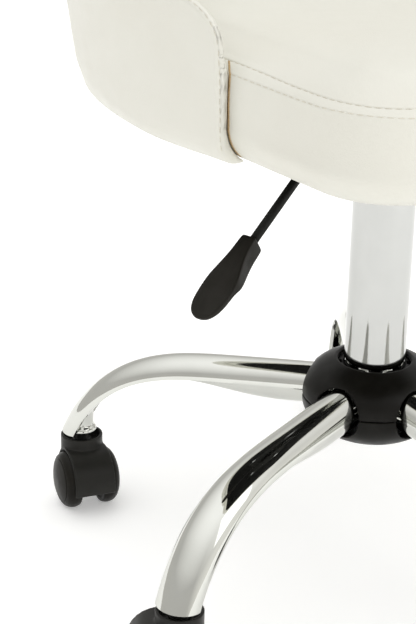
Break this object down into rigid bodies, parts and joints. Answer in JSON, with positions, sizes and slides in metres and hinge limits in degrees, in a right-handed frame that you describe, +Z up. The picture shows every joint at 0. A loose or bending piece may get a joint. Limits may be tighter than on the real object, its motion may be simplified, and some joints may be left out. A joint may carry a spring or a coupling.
{
  "type": "swivel tub stool",
  "caption": "Swivel tub stool with a low wrap-around upholstered back, round gas-lift column, side height lever and chromed star base on swivelling casters.",
  "frame": {"origin": "on the floor under the column axis, which is the centre of the bounding box", "axes": "+Z up; the sitter faces -Y, so the back is towards +Y; +X is the sitter's left"},
  "size_m": [0.5776, 0.6024, 0.772],
  "materials": {
    "chrome": "polished",
    "steel": "satin",
    "black_steel": "satin",
    "black_plastic": "satin",
    "wheel_plastic": "satin",
    "bumper_rubber": "matte",
    "cover_leather": "satin grain",
    "plywood": "sanded"
  },
  "bodies": {
    "base": {"hub_sleeve": "steel", "hub_cover_upper": "black_plastic", "hub_cover_lower": "black_plastic", "hub_collar_ring": "black_plastic", "column_tube": "chrome", "guide_bush": "black_plastic", "thrust_bearing": "steel", "leg_1": "chrome", "caster_socket_1": "chrome", "caster_stem_1": "steel", "leg_2": "chrome", "caster_socket_2": "chrome", "caster_stem_2": "steel", "leg_3": "chrome", "caster_socket_3": "chrome", "caster_stem_3": "steel", "leg_4": "chrome", "caster_socket_4": "chrome", "caster_stem_4": "steel", "leg_5": "chrome", "caster_socket_5": "chrome", "caster_stem_5": "steel"},
    "lift_rod": {"piston_rod": "steel", "rod_clip": "steel", "rod_bumper": "bumper_rubber"},
    "seat": {"gas_cylinder": "black_steel", "cylinder_gland": "steel", "mechanism_plate": "black_steel", "lever_pivot_pin": "steel", "seat_bolt_1": "steel", "seat_bolt_2": "steel", "seat_bolt_3": "steel", "seat_bolt_4": "steel", "seat_board": "plywood", "seat_pad": "cover_leather", "back_shell": "cover_leather", "back_pad": "cover_leather"},
    "lever": {"lever_rod": "black_steel", "lever_paddle": "black_plastic"},
    "button": {"release_button": "steel"},
    "caster_1": {"caster_hood_1": "black_plastic", "caster_axle_1": "steel"},
    "wheel_left_1": {"wheel_left_1": "wheel_plastic"},
    "wheel_right_1": {"wheel_right_1": "wheel_plastic"},
    "caster_2": {"caster_hood_2": "black_plastic", "caster_axle_2": "steel"},
    "wheel_left_2": {"wheel_left_2": "wheel_plastic"},
    "wheel_right_2": {"wheel_right_2": "wheel_plastic"},
    "caster_3": {"caster_hood_3": "black_plastic", "caster_axle_3": "steel"},
    "wheel_left_3": {"wheel_left_3": "wheel_plastic"},
    "wheel_right_3": {"wheel_right_3": "wheel_plastic"},
    "caster_4": {"caster_hood_4": "black_plastic", "caster_axle_4": "steel"},
    "wheel_left_4": {"wheel_left_4": "wheel_plastic"},
    "wheel_right_4": {"wheel_right_4": "wheel_plastic"},
    "caster_5": {"caster_hood_5": "black_plastic", "caster_axle_5": "steel"},
    "wheel_left_5": {"wheel_left_5": "wheel_plastic"},
    "wheel_right_5": {"wheel_right_5": "wheel_plastic"}
  },
  "joints": [
    {"name": "seat_swivel", "type": "hinge", "parent": "base", "child": "lift_rod", "pos_m": [0, 0, 0.2], "axis": [0, 0, 1], "continuous": true},
    {"name": "seat_height", "type": "slide", "parent": "lift_rod", "child": "seat", "axis": [0, 0, 1], "range_m": [0, 0.1]},
    {"name": "lever_pull", "type": "hinge", "parent": "seat", "child": "lever", "pos_m": [-0.0346, -0.00992, 0.388], "axis": [-0.2756, 0.9613, 0], "range_deg": [0, 7], "stiffness_Nm_per_rad": 1.5},
    {"name": "button_press", "type": "slide", "parent": "seat", "child": "button", "axis": [0, 0, -1], "range_m": [0, 0.0045]},
    {"name": "caster_swivel_1", "type": "hinge", "parent": "base", "child": "caster_1", "pos_m": [0, -0.258, 0.05], "axis": [0, 0, 1], "continuous": true},
    {"name": "wheel_spin_left_1", "type": "hinge", "parent": "caster_1", "child": "wheel_left_1", "pos_m": [-0.008, -0.26824, 0.025], "axis": [0.788, -0.6157, 0], "continuous": true},
    {"name": "wheel_spin_right_1", "type": "hinge", "parent": "caster_1", "child": "wheel_right_1", "pos_m": [-0.008, -0.26824, 0.025], "axis": [0.788, -0.6157, 0], "continuous": true},
    {"name": "caster_swivel_2", "type": "hinge", "parent": "base", "child": "caster_2", "pos_m": [0.24537, -0.07973, 0.05], "axis": [0, 0, 1], "continuous": true},
    {"name": "wheel_spin_left_2", "type": "hinge", "parent": "caster_2", "child": "wheel_left_2", "pos_m": [0.25576, -0.08755, 0.025], "axis": [0.6018, 0.7986, 0], "continuous": true},
    {"name": "wheel_spin_right_2", "type": "hinge", "parent": "caster_2", "child": "wheel_right_2", "pos_m": [0.25576, -0.08755, 0.025], "axis": [0.6018, 0.7986, 0], "continuous": true},
    {"name": "caster_swivel_3", "type": "hinge", "parent": "base", "child": "caster_3", "pos_m": [0.15165, 0.20873, 0.05], "axis": [0, 0, 1], "continuous": true},
    {"name": "wheel_spin_left_3", "type": "hinge", "parent": "caster_3", "child": "wheel_left_3", "pos_m": [0.16203, 0.21655, 0.025], "axis": [-0.6018, 0.7986, 0], "continuous": true},
    {"name": "wheel_spin_right_3", "type": "hinge", "parent": "caster_3", "child": "wheel_right_3", "pos_m": [0.16203, 0.21655, 0.025], "axis": [-0.6018, 0.7986, 0], "continuous": true},
    {"name": "caster_swivel_4", "type": "hinge", "parent": "base", "child": "caster_4", "pos_m": [-0.15165, 0.20873, 0.05], "axis": [0, 0, 1], "continuous": true},
    {"name": "wheel_spin_left_4", "type": "hinge", "parent": "caster_4", "child": "wheel_left_4", "pos_m": [-0.15479, 0.19611, 0.025], "axis": [0.9703, -0.2419, 0], "continuous": true},
    {"name": "wheel_spin_right_4", "type": "hinge", "parent": "caster_4", "child": "wheel_right_4", "pos_m": [-0.15479, 0.19611, 0.025], "axis": [0.9703, -0.2419, 0], "continuous": true},
    {"name": "caster_swivel_5", "type": "hinge", "parent": "base", "child": "caster_5", "pos_m": [-0.24537, -0.07973, 0.05], "axis": [0, 0, 1], "continuous": true},
    {"name": "wheel_spin_left_5", "type": "hinge", "parent": "caster_5", "child": "wheel_left_5", "pos_m": [-0.25576, -0.0719, 0.025], "axis": [-0.6018, -0.7986, 0], "continuous": true},
    {"name": "wheel_spin_right_5", "type": "hinge", "parent": "caster_5", "child": "wheel_right_5", "pos_m": [-0.25576, -0.0719, 0.025], "axis": [-0.6018, -0.7986, 0], "continuous": true}
  ],
  "couplings": [
    {"joint": "button_press", "follows": "lever_pull", "m_per_rad": 0.036}
  ]
}
